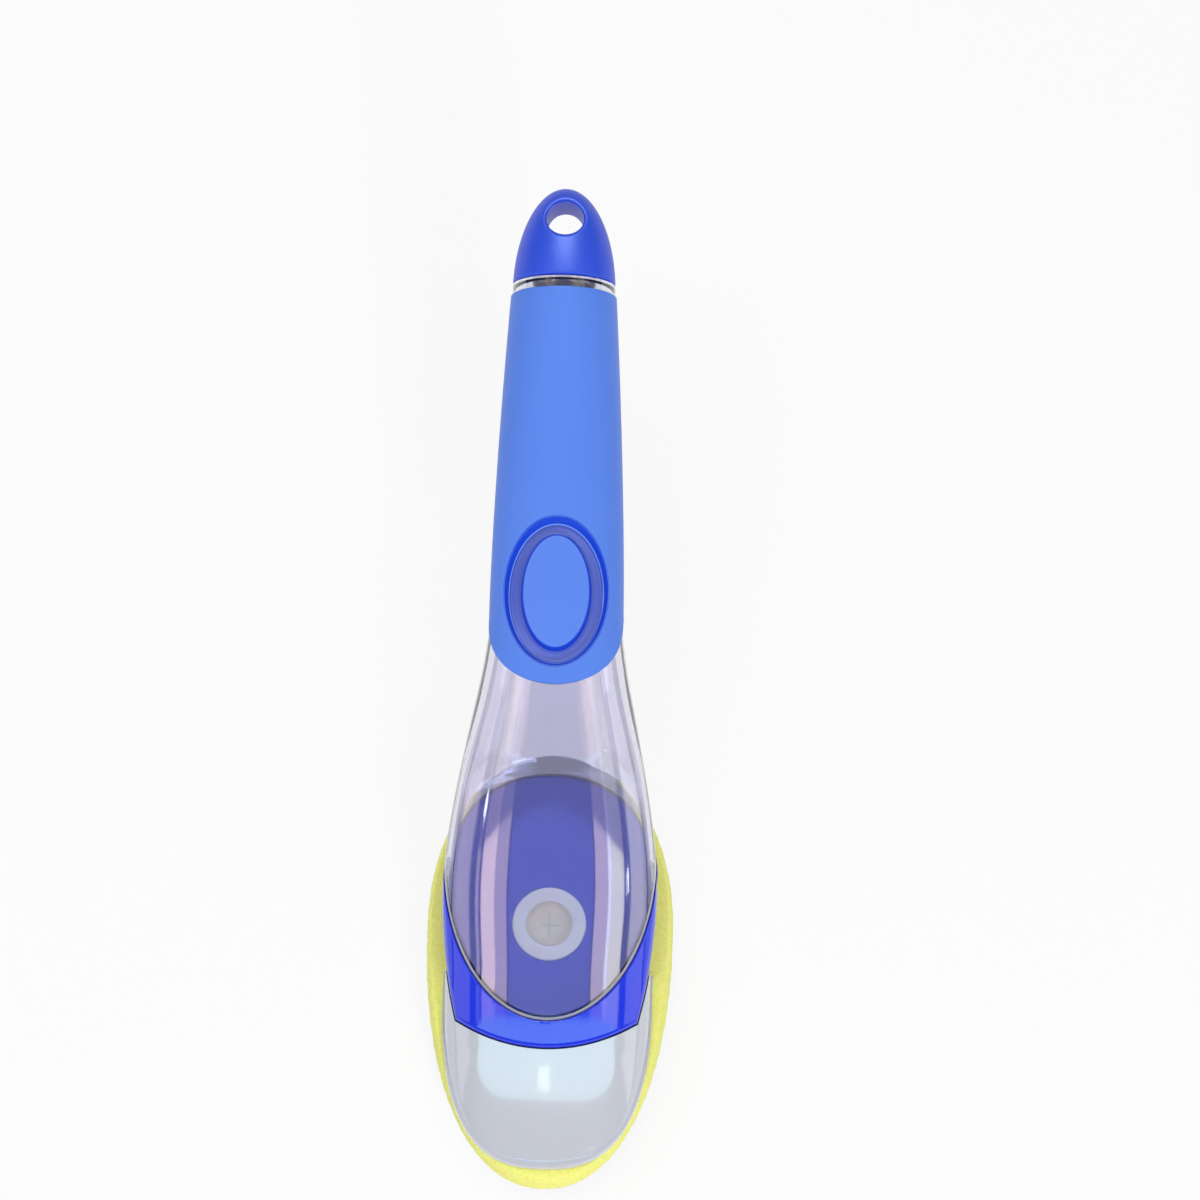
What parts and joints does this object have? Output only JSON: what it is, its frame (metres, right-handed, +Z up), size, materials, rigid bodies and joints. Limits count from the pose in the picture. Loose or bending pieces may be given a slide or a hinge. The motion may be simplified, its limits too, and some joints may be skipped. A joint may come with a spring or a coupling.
{
  "type": "dish wand",
  "caption": "Clear soap-filled dish wand: soft grip with a push button, screw cap with hanging hole, slit valve, and a foam refill that slides onto the head.",
  "frame": {"origin": "centre of the flat scrubbing face", "axes": "+Z up out of the scrubbing face, -Y towards the toe, +Y towards the handle's hanging end, x = 0 the symmetry plane"},
  "size_m": [0.07, 0.2696, 0.0942],
  "materials": {
    "clear_plastic": "clear, glossy",
    "soft_grip": "matte, soft touch",
    "bezel_blue": "satin",
    "soft_skin": "matte",
    "soft_button": "matte, soft touch",
    "cap_blue": "satin",
    "silicone": "matte",
    "shoe_blue": "glossy",
    "milky_plastic": "milky, satin",
    "valve_silicone": "matte",
    "gloss_white": "glossy",
    "foam": "open-cell foam",
    "scrub_fibre": "fibre pad"
  },
  "bodies": {
    "handle": {"handle_shell": "clear_plastic", "grip_sleeve": "soft_grip", "button_bezel": "bezel_blue", "button_membrane": "soft_skin", "shoe": "shoe_blue", "valve_retainer": "milky_plastic", "soap_valve": "valve_silicone"},
    "button": {"thumb_button": "soft_button"},
    "cap_seal": {"cap_gasket": "silicone"},
    "cap": {"end_cap": "cap_blue"},
    "refill": {"refill_base": "gloss_white", "sponge": "foam", "scrub_pad": "scrub_fibre"}
  },
  "joints": [
    {"name": "button_press", "type": "slide", "parent": "handle", "child": "button", "axis": [0, 0.2588, -0.9659], "range_m": [0, 0.003], "stiffness_N_per_m": 1200, "deforming": ["button_membrane"]},
    {"name": "cap_lift", "type": "slide", "parent": "handle", "child": "cap_seal", "axis": [0, 0.9659, 0.2588], "range_m": [0, 0.012]},
    {"name": "cap_turn", "type": "hinge", "parent": "cap_seal", "child": "cap", "pos_m": [0, 0.0547, 0.045], "axis": [0, 0.9659, 0.2588], "range_deg": [0, 720]},
    {"name": "refill_slide", "type": "slide", "parent": "handle", "child": "refill", "axis": [0, -1, 0], "range_m": [0, 0.085]}
  ],
  "couplings": [
    {"joint": "cap_turn", "follows": "cap_lift", "rad_per_m": 1047.2}
  ]
}
